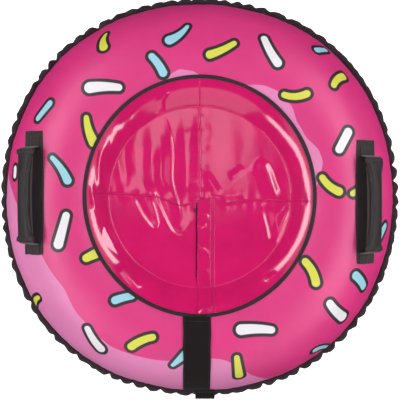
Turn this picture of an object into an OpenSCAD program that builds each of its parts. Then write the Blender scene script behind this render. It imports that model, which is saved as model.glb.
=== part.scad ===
// Towable tube: a rubber inner tube in a sewn cover, with a glossy seat, two handles and a tow strap.
// +Z is up, +X is to the rider's right, and the tow strap runs towards -Y. The origin is on the
// ground under the middle of the tube. All sizes are in millimetres.

/* [Tube] */
// Diameter over the rim binding
outer_d = 900; // [860:10:960]
// Diameter of the inflated rubber section
section_d = 270; // [260:5:275]
// Wall of the inflated rubber inner tube
rubber_t = 1.2; // [1:0.1:2]
// Thickness of the sewn covers and of the seat panels
cover_t = 1.2; // [0.8:0.1:1.4]
// How far the gathered binding stands out round the rim
rim_w = 13; // [12:1:16]

/* [Seat] */
// Diameter of the seat along the middle of its binding
seat_d = 515; // [500:5:525]
// Width of the seat binding
seat_binding_w = 10; // [8:1:12]
// Angle down the inner flank at which the seat leaves the tube
seat_leave_angle = 40; // [37:1:43]
// Radius of the bend where the seat turns level
seat_bend_r = 50; // [45:5:60]

/* [Zip] */
// Distance from the middle of the seat to the first tooth
zip_start = 18; // [16:1:24]
// Length of the toothed run
zip_length = 152; // [120:4:156]
// Distance from tooth to tooth along one side
tooth_pitch = 4; // [3:0.5:5]
// Width of the slot that the seat leaves over the teeth
zip_slot_w = 14; // [13.5:0.5:16]
// Free edge of the flap, measured across from the zip's line
flap_edge_x = -4.4; // [-4.4:0.1:-4]
// Sewn edge of the flap, measured across from the zip's line
flap_sewn_x = 24; // [22:1:28]

/* [Handles] */
// Angle down the outer flank at which a handle is sewn
handle_angle = 27.5; // [25:0.5:29]
// Width of the webbing under a handle
handle_base_w = 50; // [45:1:55]
// Length of the webbing under a handle
handle_base_len = 270; // [250:5:290]
// Length of the padded grip
grip_len = 198; // [180:2:200]
// Height of the middle of the grip above the cover
grip_h = 34; // [32:1:40]
// Width of the grip
grip_w = 42; // [40:1:46]
// Thickness of the padded grip
grip_t = 12; // [11:1:14]
// How far the right handle sits towards the tow strap, and the left one away from it
handle_shift = 10; // [0:1:15]
// How far a grip sits from the middle of its webbing, towards the tow strap
grip_shift = 6; // [0:1:8]

/* [Towing] */
// Width of the tow strap
tow_strap_w = 60; // [50:1:65]
// Middle of the tow strap, across from the zip's line
tow_strap_x = -6; // [-10:1:10]
// Width of the tow loop
tow_loop_w = 44; // [40:1:50]
// Middle of the tow loop, across from the zip's line
tow_loop_x = 12; // [-12:1:14]
// Inside radius of the loop's eye
eye_r = 9; // [8:0.5:10]
// Distance from the loop's pivot to the middle of its eye
tow_loop_drop = 38; // [34:1:44]

/* [Hidden] */
$fn = 96;
tiny = 0.05;

// Layers of cloth that lie on each other are drawn this far apart.
layer_gap = 0.3;
// Air between the rubber and the cover.
rubber_gap = 0.4;
seam_gap = 0.25;
webbing_t = 1.8;
binding_t = 1.2;

// The covers' section is a circle of radius skin_r, whose middle is ring_r from the axis.
skin_r = section_d / 2 + rubber_gap + cover_t;
ring_r = outer_d / 2 - rim_w - skin_r;
axle_z = skin_r;
seat_r = seat_d / 2;

// The level part of the seat ends at flat_r, at height seat_z.
flat_r = ring_r - (skin_r + seat_bend_r) * sin(seat_leave_angle);
seat_z = axle_z + skin_r * cos(seat_leave_angle) - seat_bend_r * (1 - cos(seat_leave_angle));

// Rim: the two covers' lips lie in a folded binding.
lip_w = 10;
lip_half_gap = 0.1;
rim_r = outer_d / 2;

// Zip, seen from above: the slot in the seat, the tapes under its edges and the teeth between them.
tape_w = 14;
tape_t = 0.8;
tooth_w = 2.9;
tooth_l = 2.6;
tooth_t = 3.4;
row_gap = 0.7;
tape_x = row_gap + tooth_w;
tape_top = seat_z - cover_t - 0.1;
tooth_z = tape_top - tape_t / 2;
teeth = floor(zip_length / tooth_pitch);
zip_end = zip_start + zip_length;
slot_start = zip_start - 6;
slot_end = zip_end + 7;
stop_l = 3;

// Slider and pull. The slider rests at slider_y, with the zip closed.
slider_w = 12.8;
slider_l = 18;
slider_y = -(zip_start + 2 + slider_l / 2);
plate_t = 1;
cavity_h = 4.2;
lip_inner_x = 4.4;
plate_top = tooth_z + cavity_h / 2 + plate_t;
pin_x = -5.6;
pin_z = plate_top + 1.8;
bridge_pin_r = 0.65;
bridge_leg_w = 1.4;
bridge_open = 7.6;
pull_t = 1;
pull_r = 4.2;
pull_eye_r = 2.4;
pull_reach = 3.7;
barrel_r = 1.35;
barrel_l = 7;
barrel_bore_r = 0.72;

// Flap over the zip.
flap_t = 1;
flap_lift = 5;
flap_y0 = 3;
flap_y1 = slot_end - 1;
flap_bend_x = flap_sewn_x - 11;
hem_gap = 1.2;
hem_w = 6;

// Handle, in its own frame on the flank: x across, y along, z out of the cover.
strap_w = 37;
sleeve_t = 1;
foot_r = 2.5;
foot_y = grip_len / 2 + 7;
leg_slope = 3;
leg_full_z = 24;
strap_bottom_z = grip_h - grip_t / 2 + sleeve_t + layer_gap;
// The hinge line of a handle clears the webbing below by the foot's radius and a gap.
highest_foot_y = foot_y - grip_shift - handle_shift;
pivot_z = flank_z(highest_foot_y, layer_gap + webbing_t) + foot_r + 0.5;

// Tow loop.
tow_pivot_y = -(rim_r + 3);

// Valve, in its own frame: z points from the tube's wall towards the middle.
valve_angle = 250;
valve_r = ring_r - section_d / 2;
stem_r = 4;
stem_bore_r = 2.3;
stem_len = 30;
core_r = 2.2;
core_bore_r = 1;
pin_r = 0.7;
neck_len = 14;
patch_r = 22;
cap_r = 5.2;
cap_bore_r = 4.15;
cap_start = 22;
cap_len = 11;

// Height in a handle's frame of the surface that lies lift above the cover, at y from the tube's X axis.
function flank_z(y, lift, z = 0, steps = 8) =
    let (x = ring_r + (skin_r + z) * sin(handle_angle), up = (skin_r + z) * cos(handle_angle))
    let (miss = norm([norm([x, y]) - ring_r, up]) - (skin_r + lift))
    steps == 0 ? z : flank_z(y, lift, z - miss, steps - 1);

module at_section() {
    translate([ring_r, axle_z]) children();
}

// A thin band of the section's circle, lift above the covers and t thick.
module skin_band(lift, t) {
    at_section() difference() {
        circle(skin_r + lift + t);
        circle(skin_r + lift);
    }
}

// Height of the seat's upper surface, raised by d, as points from the axis out to r_end.
function seat_curve(d, r_end) =
    let (steps = 10, end_angle = asin((ring_r - r_end) / (skin_r + d)))
    concat(
        [[0, seat_z + d]],
        [for (i = [0:steps])
            let (a = seat_leave_angle * i / steps)
            [flat_r + (seat_bend_r - d) * sin(a), seat_z + seat_bend_r - (seat_bend_r - d) * cos(a)]],
        [for (i = [1:steps])
            let (a = seat_leave_angle + (end_angle - seat_leave_angle) * i / steps)
            [ring_r - (skin_r + d) * sin(a), axle_z + (skin_r + d) * cos(a)]]
    );

function reversed(points) = [for (i = [len(points) - 1:-1:0]) points[i]];

// Section of a layer on the seat, from d_low to d_high above its upper surface.
module seat_layer(d_low, d_high, r_end) {
    polygon(concat(seat_curve(d_high, r_end), reversed(seat_curve(d_low, r_end))));
}

module rounded_bar(w, t, r) {
    hull() for (x = [-1, 1], z = [-1, 1])
        translate([x * (w / 2 - r), z * (t / 2 - r)]) circle(r, $fn = 24);
}

// ---- Rubber inner tube and its valve ----

module at_valve() {
    rotate([0, 0, valve_angle]) translate([valve_r, 0, axle_z]) rotate([0, -90, 0]) children();
}

module inner_tube() {
    color("dimgray") difference() {
        rotate_extrude() at_section() circle(section_d / 2);
        rotate_extrude() at_section() circle(section_d / 2 - rubber_t);
        at_valve() cylinder(r = stem_r + 0.2, h = 20, center = true);
    }
}

module valve_base() {
    color("black") difference() {
        union() {
            intersection() {
                rotate([0, 0, valve_angle - 15]) rotate_extrude(angle = 30) at_section() difference() {
                    circle(section_d / 2 + 2.1);
                    circle(section_d / 2 + 0.1);
                }
                at_valve() cylinder(r = patch_r, h = 40, center = true);
            }
            at_valve() translate([0, 0, 1]) cylinder(r1 = 7.5, r2 = 6, h = neck_len - 1);
        }
        at_valve() translate([0, 0, -10]) cylinder(r = stem_r + 0.1, h = neck_len + 20);
    }
}

module valve_stem() {
    flange_r = 9;
    color("goldenrod") at_valve() difference() {
        union() {
            translate([0, 0, -4]) cylinder(r = stem_r, h = stem_len + 4);
            translate([0, 0, -4]) cylinder(r = flange_r, h = 4 - rubber_t - 0.4);
        }
        translate([0, 0, -5]) cylinder(r = stem_bore_r, h = stem_len + 10);
    }
}

module valve_core() {
    color("gold") at_valve() translate([0, 0, 18]) difference() {
        cylinder(r = core_r, h = stem_len - 18.5);
        translate([0, 0, -1]) cylinder(r = core_bore_r, h = stem_len);
    }
}

module valve_pin() {
    color("silver") at_valve() translate([0, 0, 17]) cylinder(r = pin_r, h = stem_len - 16.8);
}

module valve_cap() {
    roof = 1.5;
    color("black") at_valve() translate([0, 0, cap_start]) difference() {
        cylinder(r = cap_r, h = cap_len);
        translate([0, 0, -1]) cylinder(r = cap_bore_r, h = cap_len + 1 - roof);
    }
}

// ---- Covers and rim ----

module bottom_panel() {
    color("deeppink") cylinder(r = ring_r - seam_gap, h = cover_t);
}

module bottom_cover() {
    color("deeppink") rotate_extrude() {
        intersection() {
            skin_band(-cover_t, cover_t);
            translate([ring_r, 0]) square([skin_r + 1, axle_z - lip_half_gap]);
        }
        translate([ring_r + skin_r - cover_t / 2, axle_z - lip_half_gap - cover_t])
            square([lip_w, cover_t]);
    }
}

module top_cover() {
    color("hotpink") rotate_extrude() {
        intersection() {
            skin_band(-cover_t, cover_t);
            translate([seat_r + 0.2, axle_z + lip_half_gap]) square([rim_r, skin_r + 1]);
        }
        translate([ring_r + skin_r - cover_t / 2, axle_z + lip_half_gap]) square([lip_w, cover_t]);
    }
}

module rim_binding() {
    slot_h = 2 * (cover_t + lip_half_gap + 0.2);
    slot_r = ring_r + skin_r - cover_t / 2 + lip_w + 0.2;
    inner_r = ring_r + skin_r + 1.5;
    color("black") rotate_extrude() difference() {
        translate([inner_r, axle_z - slot_h / 2 - binding_t])
            square([rim_r - inner_r, slot_h + 2 * binding_t]);
        translate([inner_r - 1, axle_z - slot_h / 2]) square([slot_r - inner_r + 1, slot_h]);
    }
}

// ---- Seat ----

module seat_quarter(start) {
    rotate_extrude(angle = 90, start = start) seat_layer(-cover_t, 0, seat_r - 0.2);
}

module zip_slot() {
    translate([-zip_slot_w / 2, -slot_end, seat_z - 5]) cube([zip_slot_w, slot_end - slot_start, 10]);
}

module seat_back_right() {
    color("deeppink") seat_quarter(0);
}

module seat_back_left() {
    color("deeppink") seat_quarter(90);
}

module seat_front_left() {
    color("deeppink") difference() {
        seat_quarter(180);
        zip_slot();
    }
}

module seat_front_right() {
    color("deeppink") difference() {
        seat_quarter(270);
        zip_slot();
    }
}

module seat_binding() {
    color("black") rotate_extrude() intersection() {
        skin_band(layer_gap, binding_t + 0.8);
        translate([seat_r - seat_binding_w / 2, axle_z]) square([seat_binding_w, 2 * skin_r]);
    }
}

// ---- Zip ----

module zip_tape(side) {
    x = side > 0 ? tape_x : -tape_x - tape_w;
    color("black") translate([x, -zip_end - 7, tape_top - tape_t])
        cube([tape_w, zip_end + 7 - slot_start + 2, tape_t]);
}

// One row of teeth; the right row is half a pitch on from the left one.
module zip_teeth(side) {
    x = side > 0 ? row_gap : -row_gap - tooth_w;
    offset_y = side > 0 ? tooth_pitch / 2 : 0;
    color("dimgray") for (i = [0:teeth - 1])
        translate([x, -(zip_start + offset_y + i * tooth_pitch) - tooth_l, tooth_z - tooth_t / 2])
            cube([tooth_w, tooth_l, tooth_t]);
}

module zip_stops() {
    color("silver") {
        for (x = [row_gap, -row_gap - tooth_w])
            translate([x, -(zip_start - 1), tooth_z - tooth_t / 2]) cube([tooth_w, stop_l, tooth_t]);
        translate([-tape_x, -(zip_end + 3 + stop_l), tooth_z - tooth_t / 2])
            cube([2 * tape_x, stop_l, tooth_t]);
    }
}

module zip_slider() {
    lip_w = slider_w / 2 - lip_inner_x;
    lip_h = (cavity_h - tape_t) / 2 - 0.3;
    post_w = 0.8;
    post_l = 3;
    color("silver") translate([0, slider_y, tooth_z]) {
        for (side = [-1, 1])
            translate([-slider_w / 2, -slider_l / 2, side > 0 ? cavity_h / 2 : -cavity_h / 2 - plate_t])
                cube([slider_w, slider_l, plate_t]);
        for (x = [lip_inner_x, -slider_w / 2], z = [cavity_h / 2 - lip_h, -cavity_h / 2])
            translate([x, -slider_l / 2, z]) cube([lip_w, slider_l, lip_h]);
        translate([-post_w / 2, slider_l / 2 - post_l, -cavity_h / 2 - tiny])
            cube([post_w, post_l, cavity_h + 2 * tiny]);
    }
    color("silver") translate([pin_x, slider_y, plate_top]) {
        for (y = [bridge_open / 2, -bridge_open / 2 - bridge_leg_w])
            translate([-bridge_leg_w / 2, y, -tiny])
                cube([bridge_leg_w, bridge_leg_w, pin_z - plate_top + 1]);
        translate([0, 0, pin_z - plate_top]) rotate([90, 0, 0])
            cylinder(r = bridge_pin_r, h = bridge_open + bridge_leg_w, center = true);
    }
}

// A ring on a barrel that turns on the slider's pin. It lies flat beside the flap's free edge.
module zip_pull() {
    color("silver") translate([pin_x, slider_y, pin_z]) difference() {
        union() {
            rotate([90, 0, 0]) cylinder(r = barrel_r, h = barrel_l, center = true);
            translate([-pull_reach, 0, -pull_t / 2]) cylinder(r = pull_r, h = pull_t);
        }
        translate([-pull_reach, 0, -2]) cylinder(r = pull_eye_r, h = 4);
        rotate([90, 0, 0]) cylinder(r = barrel_bore_r, h = barrel_l + 2, center = true);
    }
}

// The flap's section is drawn across the zip: it passes over the slider and comes down to the bead
// along its seam, on which it turns.
module zip_flap() {
    bead_r = flap_t / 2;
    color("deeppink") translate([0, -flap_y0, seat_z]) rotate([90, 0, 0])
        linear_extrude(height = flap_y1 - flap_y0) {
            translate([flap_sewn_x - bead_r, layer_gap + bead_r]) circle(bead_r);
            polygon([
                [flap_edge_x, flap_lift], [flap_bend_x - 0.4, flap_lift],
                [flap_sewn_x - bead_r, layer_gap], [flap_sewn_x - bead_r, layer_gap + flap_t],
                [flap_bend_x, flap_lift + flap_t], [flap_edge_x, flap_lift + flap_t]
            ]);
        }
}

// The hem along the flap's seam, and the flap's last stretch, which is sewn down over the seat's bend.
module zip_flap_end() {
    r_end = seat_r - seat_binding_w / 2 - 0.5;
    hem_x = flap_sewn_x + hem_gap;
    color("deeppink") intersection() {
        rotate_extrude(angle = 40, start = 255) seat_layer(layer_gap, layer_gap + flap_t, r_end);
        union() {
            translate([hem_x, -r_end - 5, seat_z - 5]) cube([hem_w, r_end + 4, 60]);
            translate([flap_edge_x, -r_end - 5, seat_z - 5])
                cube([hem_x - flap_edge_x + 1, r_end + 5 - slot_end - 0.5, 60]);
        }
    }
}

// ---- Handles: the left one is the right one turned half round ----

module at_handle(turn) {
    rotate([0, 0, turn]) translate([ring_r, -handle_shift, axle_z]) rotate([0, handle_angle, 0])
        translate([0, 0, skin_r]) children();
}

module handle_base(turn) {
    color("black") intersection() {
        rotate([0, 0, turn]) rotate_extrude(angle = 60, start = -30) intersection() {
            skin_band(layer_gap, webbing_t);
            translate([ring_r - 40, axle_z]) square([skin_r + 60, skin_r + 20]);
        }
        at_handle(turn) cube([handle_base_w, handle_base_len, 90], center = true);
    }
}

module at_grip(turn) {
    at_handle(turn) translate([0, turn == 0 ? -grip_shift : grip_shift, 0]) children();
}

// The webbing runs up from each foot and along under the foam. Each leg narrows to a round foot.
module handle_strap(turn) {
    y_top = foot_y - leg_slope;
    z_low = pivot_z - foot_r - 1;
    z_top = strap_bottom_z + webbing_t;
    color("black") at_grip(turn) intersection() {
        rotate([90, 0, 90]) linear_extrude(height = strap_w, center = true) difference() {
            polygon([[-foot_y, z_low], [-y_top, z_top], [y_top, z_top], [foot_y, z_low]]);
            polygon([
                [-foot_y + webbing_t, z_low - 1], [-y_top + webbing_t, strap_bottom_z],
                [y_top - webbing_t, strap_bottom_z], [foot_y - webbing_t, z_low - 1]
            ]);
        }
        rotate([90, 0, 0]) linear_extrude(height = 2 * foot_y + 2, center = true) {
            translate([0, pivot_z]) circle(foot_r);
            polygon([
                [-foot_r, pivot_z], [-strap_w / 2, leg_full_z], [-strap_w / 2, z_top + 1],
                [strap_w / 2, z_top + 1], [strap_w / 2, leg_full_z], [foot_r, pivot_z]
            ]);
        }
    }
}

module grip_foam(turn) {
    foam_t = grip_t - 2 * sleeve_t - webbing_t - 3 * layer_gap;
    foam_z = strap_bottom_z + webbing_t + layer_gap + foam_t / 2;
    color("gray") at_grip(turn) translate([0, 0, foam_z]) rotate([90, 0, 0])
        linear_extrude(height = grip_len - 10, center = true)
            rounded_bar(grip_w - 2 * sleeve_t - 1, foam_t, 1.8);
}

module grip_sleeve(turn) {
    color("black") at_grip(turn) translate([0, 0, grip_h]) rotate([90, 0, 0])
        linear_extrude(height = grip_len, center = true) difference() {
            rounded_bar(grip_w, grip_t, 3);
            rounded_bar(grip_w - 2 * sleeve_t, grip_t - 2 * sleeve_t, 2);
        }
}

// ---- Tow strap and loop ----

module tow_strap() {
    inner_y = seat_r + seat_binding_w / 2 + 0.8;
    lip_z = axle_z + lip_half_gap + cover_t + 0.2 + binding_t;
    tail_r = rim_r - 0.5;
    tail_start = ring_r + skin_r - 0.5;
    color("black") {
        intersection() {
            rotate_extrude(angle = 30, start = 255) intersection() {
                skin_band(layer_gap, webbing_t);
                translate([inner_y - 5, lip_z + layer_gap]) square([rim_r, skin_r + 20]);
            }
            translate([tow_strap_x - tow_strap_w / 2, -rim_r, 0])
                cube([tow_strap_w, rim_r - inner_y, 2 * skin_r + 20]);
        }
        intersection() {
            rotate_extrude(angle = 30, start = 255) translate([tail_start + 1, lip_z + layer_gap])
                square([tail_r - tail_start - 1, webbing_t]);
            translate([tow_strap_x - tow_strap_w / 2, -rim_r, 0])
                cube([tow_strap_w, rim_r, 2 * skin_r]);
        }
    }
}

module tow_loop() {
    color("black") translate([tow_loop_x, tow_pivot_y, axle_z]) rotate([90, 0, 90])
        linear_extrude(height = tow_loop_w, center = true) difference() {
            union() {
                circle(webbing_t);
                translate([-webbing_t, -tow_loop_drop]) square([2 * webbing_t, tow_loop_drop]);
                translate([0, -tow_loop_drop]) circle(eye_r + webbing_t);
            }
            translate([0, -tow_loop_drop]) circle(eye_r);
        }
}

inner_tube();
valve_base();
valve_stem();
valve_core();
valve_pin();
valve_cap();
bottom_panel();
bottom_cover();
top_cover();
rim_binding();
seat_back_right();
seat_back_left();
seat_front_left();
seat_front_right();
seat_binding();
zip_tape(-1);  // zip_tape_left
zip_tape(1);  // zip_tape_right
zip_teeth(-1);  // zip_teeth_left
zip_teeth(1);  // zip_teeth_right
zip_stops();
zip_slider();
zip_pull();
zip_flap();
zip_flap_end();
handle_base(180);  // left_handle_base
handle_strap(180);  // left_handle_strap
grip_foam(180);  // left_grip_foam
grip_sleeve(180);  // left_grip_sleeve
handle_base(0);  // right_handle_base
handle_strap(0);  // right_handle_strap
grip_foam(0);  // right_grip_foam
grip_sleeve(0);  // right_grip_sleeve
tow_strap();
tow_loop();
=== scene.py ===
import math

import bpy
import numpy as np
from mathutils import Matrix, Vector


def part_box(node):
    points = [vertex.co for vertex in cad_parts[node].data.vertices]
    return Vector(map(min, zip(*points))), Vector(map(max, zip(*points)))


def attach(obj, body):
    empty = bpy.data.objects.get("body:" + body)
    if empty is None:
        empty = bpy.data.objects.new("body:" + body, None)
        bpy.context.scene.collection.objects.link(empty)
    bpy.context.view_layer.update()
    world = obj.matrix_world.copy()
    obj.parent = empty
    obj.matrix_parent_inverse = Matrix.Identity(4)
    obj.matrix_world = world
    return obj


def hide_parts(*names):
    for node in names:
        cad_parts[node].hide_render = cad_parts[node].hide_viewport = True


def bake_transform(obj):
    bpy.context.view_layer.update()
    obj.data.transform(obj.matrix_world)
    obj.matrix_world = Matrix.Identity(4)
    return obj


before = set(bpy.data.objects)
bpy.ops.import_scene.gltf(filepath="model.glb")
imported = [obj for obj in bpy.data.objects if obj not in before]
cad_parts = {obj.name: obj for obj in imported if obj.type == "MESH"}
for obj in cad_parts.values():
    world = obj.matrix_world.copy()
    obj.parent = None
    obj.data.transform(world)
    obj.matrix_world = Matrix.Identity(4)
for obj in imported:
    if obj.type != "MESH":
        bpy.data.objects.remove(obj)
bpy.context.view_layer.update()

# The looks of a towable tube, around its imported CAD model. Everything is in metres, in the row's
# frame: +Z up, +X to the rider's right, the tow loop towards -Y. MM turns millimetres into metres.
MM = 0.001

# ---------------------------------------------------------------- sizes, from the frame

tube_low, tube_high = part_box("inner_tube")
AXLE_Z = (tube_low.z + tube_high.z) / 2
RING_R = tube_high.x - (tube_high.z - tube_low.z) / 2
SKIN_R = AXLE_Z
RIM_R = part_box("rim_binding")[1].x
SEAT_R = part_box("seat_binding")[1].x - 5 * MM
SEAT_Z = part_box("zip_flap")[0].z - 0.3 * MM
LOOP_LOW, LOOP_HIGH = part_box("tow_loop")
STRAP_LOW, STRAP_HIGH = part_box("tow_strap")
FLAP_LOW, FLAP_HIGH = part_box("zip_flap")

# The cover's outline is slightly square, as a fabric tube's is between its gathers.
SQUARENESS = 0.0095
PLEATS = 88

# How thick each cloth is.
COVER_THICK, PANEL_THICK, SEAT_THICK = 1.2 * MM, 0.9 * MM, 1.1 * MM
FLAP_THICK, HEM_THICK = 0.9 * MM, 1.0 * MM
BASE_THICK, LEG_THICK, STRAP_THICK, LOOP_THICK = 2.0 * MM, 1.6 * MM, 2.1 * MM, 1.7 * MM

# The top cover's inner edge as an angle from the tube's crest, for its flat area; the lips in the
# rim binding; the panel under the ring, with a pin hole where its rows would meet.
LIP_REACH = (1 * MM, 2.2 * MM, 3.4 * MM)
LIP_RISE = 0.9 * MM
PANEL_R = RING_R + 6 * MM
PIN_HOLE = 0.05 * MM
FLOOR_GAP = 0.05 * MM

# Pleats at the rim: how far they lift each cover, and how fast that fades away from the rim. Wider
# bulges reach further.
PLEAT_WAVE = 1.6 * MM
PLEAT_MIDDLE = 0.7
TOP_PLEAT, TOP_FADE = 2.6 * MM, 17 * MM
UNDER_PLEAT, UNDER_FADE = 2.4 * MM, 20 * MM
BULGE, TOP_BULGE_FADE, UNDER_BULGE_FADE = 1.0 * MM, 46 * MM, 55 * MM
# How the pleats drift round the ring, as waves: how far, how many, and where they start.
PLEAT_DRIFTS = ((1.2, 3, 0.4), (1.0, 7, 2.0), (0.7, 13, 1.0))
CALM_TURN = math.radians(42)         # the pleats are shallow about here
HELD_TO, FREE_FROM = 0.07, 0.12      # angles round the ring from the tow strap's middle

# Seat: a little longer than it is wide.
SEAT_HALF_X = 251.5 * MM
SEAT_HALF_Y = 261 * MM
SEAT_SHIFT_Y = 2.4 * MM
SEAT_BEND_R = 1 * MM
SEAT_LEAVE = math.acos((SEAT_Z + SEAT_BEND_R - AXLE_Z) / (SKIN_R + SEAT_BEND_R))
SLOT_HALF = 7 * MM
SLOT_NEAR, SLOT_FAR = -12 * MM, -177 * MM
SEAM_DEEP, SEAM_WIDE = 0.9 * MM, 1.6 * MM
STITCH_LIFT = 0.2 * MM

# Handles, in their own frame on the flank: x across, y along, z out of the cover.
HANDLE_ANGLE = math.radians(27.5)
HANDLE_SHIFT = 10 * MM
GRIP_SHIFT = 6 * MM
GRIP_LENGTH, GRIP_WIDTH, GRIP_THICK = 198 * MM, 42 * MM, 12 * MM
GRIP_HEIGHT = 34 * MM
GRIP_SWELL = 4.2 * MM
BASE_WIDTH, BASE_LENGTH = 50 * MM, 270 * MM
STRAP_WIDTH = 37 * MM
STRAP_HEIGHT = GRIP_HEIGHT - GRIP_THICK / 2 + 3.0 * MM
BASE_LIFT, TAB_LIFT = 2.3 * MM, 4.0 * MM
TAB_HALF = 12 * MM
SEAM_IN = 3.5 * MM
SIDES = {"left": -1, "right": 1}
ENDS = {"front": -1, "back": 1}


# ---------------------------------------------------------------- mesh building

def grid_faces(rows, cols, closed_rows=False, closed_cols=False):
    i = np.arange(rows if closed_rows else rows - 1)
    j = np.arange(cols if closed_cols else cols - 1)
    i, j = np.meshgrid(i, j, indexing="ij")
    i2, j2 = (i + 1) % rows, (j + 1) % cols
    quads = np.stack([i * cols + j, i2 * cols + j, i2 * cols + j2, i * cols + j2], -1)
    return quads.reshape(-1, 4)


def add_mesh(name, points, faces, mat, cloth=None, smooth=True):
    """A mesh object. cloth holds each point's place along and across the piece, for its weave."""
    mesh = bpy.data.meshes.new(name)
    corners = [list(map(int, face)) for face in faces]
    mesh.from_pydata(np.asarray(points).reshape(-1, 3).tolist(), [], corners)
    mesh.update()
    if smooth:
        mesh.polygons.foreach_set("use_smooth", [True] * len(mesh.polygons))
    if cloth is not None:
        flat = np.zeros((len(mesh.vertices), 3), np.float32)
        flat[:, :2] = np.asarray(cloth).reshape(-1, 2)
        mesh.attributes.new("cloth", "FLOAT_VECTOR", "POINT").data.foreach_set("vector", flat.ravel())
    mesh.materials.append(mat)
    obj = bpy.data.objects.new(name, mesh)
    bpy.context.scene.collection.objects.link(obj)
    return obj


def add_numbers(obj, name, values):
    layer = obj.data.attributes.new(name, "FLOAT", "POINT")
    layer.data.foreach_set("value", np.asarray(values, np.float32).ravel())


def add_colours(obj, name, values):
    rgba = np.ones((len(obj.data.vertices), 4), np.float32)
    rgba[:, :3] = np.asarray(values).reshape(-1, 3)
    obj.data.attributes.new(name, "FLOAT_COLOR", "POINT").data.foreach_set("color", rgba.ravel())


def whole_turn(count):
    """Angles at an even spacing round a circle."""
    return np.arange(count) / count * 2 * math.pi


def wrapped(turn):
    """The same angle between minus and plus half a turn."""
    return (turn + math.pi) % (2 * math.pi) - math.pi


def bell(gap, wide):
    """1 where gap is 0, and soon nothing beyond wide."""
    return np.exp(-(gap / wide) ** 2)


def xyz(x, y, z):
    return np.stack(np.broadcast_arrays(x, y, z), -1)


def read_at(at, places, rows):
    """Rows of x, y and z read between their places."""
    return np.stack([np.interp(at, places, rows[:, k]) for k in range(3)], -1)


def unit(vectors):
    return vectors / np.maximum(np.linalg.norm(vectors, axis=-1, keepdims=True), 1e-12)


def grid_normals(front, closed_rows=False):
    if closed_rows:
        du = np.roll(front, -1, 0) - np.roll(front, 1, 0)
    else:
        du = np.gradient(front, axis=0)
    return unit(np.cross(du, np.gradient(front, axis=1)))


def cloth_place(front):
    """How far along the rows and columns each point of a grid lies, in metres."""
    along = np.linalg.norm(np.diff(front, axis=0), axis=-1).mean(1)
    across = np.linalg.norm(np.diff(front, axis=1), axis=-1).mean(0)
    u = np.concatenate([[0], np.cumsum(along)])
    v = np.concatenate([[0], np.cumsum(across)])
    return np.stack(np.meshgrid(u, v - v[-1] / 2, indexing="ij"), -1)


def shell(name, front, thickness, mat, closed_rows=False):
    """A closed sheet of cloth whose front is a grid of points and whose back lies behind it."""
    rows, cols = front.shape[:2]
    back = front - grid_normals(front, closed_rows) * thickness
    count = rows * cols
    faces = grid_faces(rows, cols, closed_rows)
    sides = [faces, faces[:, ::-1] + count]
    i = np.arange(rows if closed_rows else rows - 1)
    edges = [((i + 1) % rows * cols + j, i * cols + j, turn)
             for j, turn in ((0, 1), (cols - 1, -1))]
    if not closed_rows:
        j = np.arange(cols - 1)
        edges += [(row * cols + j, row * cols + j + 1, turn)
                  for row, turn in ((0, 1), (rows - 1, -1))]
    for a, b, turn in edges:
        sides.append(np.stack([a, b, b + count, a + count], -1)[:, ::turn])
    place = cloth_place(front)
    return add_mesh(name, np.concatenate([front.reshape(-1, 3), back.reshape(-1, 3)]),
                    np.concatenate(sides), mat, np.concatenate([place.reshape(-1, 2)] * 2))


def ring_solid(name, sections, mat):
    """A ring or a bar whose closed sections (rows) follow one another round a closed loop."""
    rows, cols = sections.shape[:2]
    return add_mesh(name, sections, grid_faces(rows, cols, True, True)[:, ::-1], mat,
                    cloth_place(sections))


def bar(name, sections, mat):
    """A bar made of closed sections from one end to the other, with flat ends."""
    rows, cols = sections.shape[:2]
    faces = grid_faces(rows, cols, False, True)[:, ::-1].tolist()
    faces += [list(range(cols)), list(range(rows * cols - 1, (rows - 1) * cols - 1, -1))]
    return add_mesh(name, sections, faces, mat, cloth_place(sections))


def along_path(path, spacing):
    """Points at an even spacing along a line, their directions, and their shares of its length."""
    path = np.asarray(path, float)
    steps = np.linalg.norm(np.diff(path, axis=0), axis=1)
    far = np.concatenate([[0], np.cumsum(steps)])
    count = max(2, int(far[-1] / spacing) + 1)
    at = (np.arange(count) + 0.5) / count * far[-1]
    step = spacing * 0.2
    ahead = unit(read_at(at + step, far, path) - read_at(at - step, far, path))
    return read_at(at, far, path), ahead, at / far[-1]


def dress(obj, slot, *nodes, body="cover"):
    """Says which body a piece moves with, and hides the CAD nodes that it replaces. Its slot is not
    used.
    """
    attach(obj, body)
    if nodes:
        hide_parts(*nodes)


def polar(far, turn, z):
    """The point at a distance from the tube's axis, at an angle round it, and at a height."""
    return xyz(far * np.cos(turn), far * np.sin(turn), z)


def oblong(count, square_w=0.5, square_t=0.5):
    """A rounded oblong's outline: across and up, each from -1 to 1. Low powers make it squarer."""
    ring = whole_turn(count)
    c, s = np.cos(ring), np.sin(ring)
    return np.sign(c) * np.abs(c) ** square_w, np.sign(s) * np.abs(s) ** square_t


def facing(line, normal=(0, 0, 1)):
    """A line for stitches whose normals are all the same."""
    return line, np.tile(normal, (len(line), 1))


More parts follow.
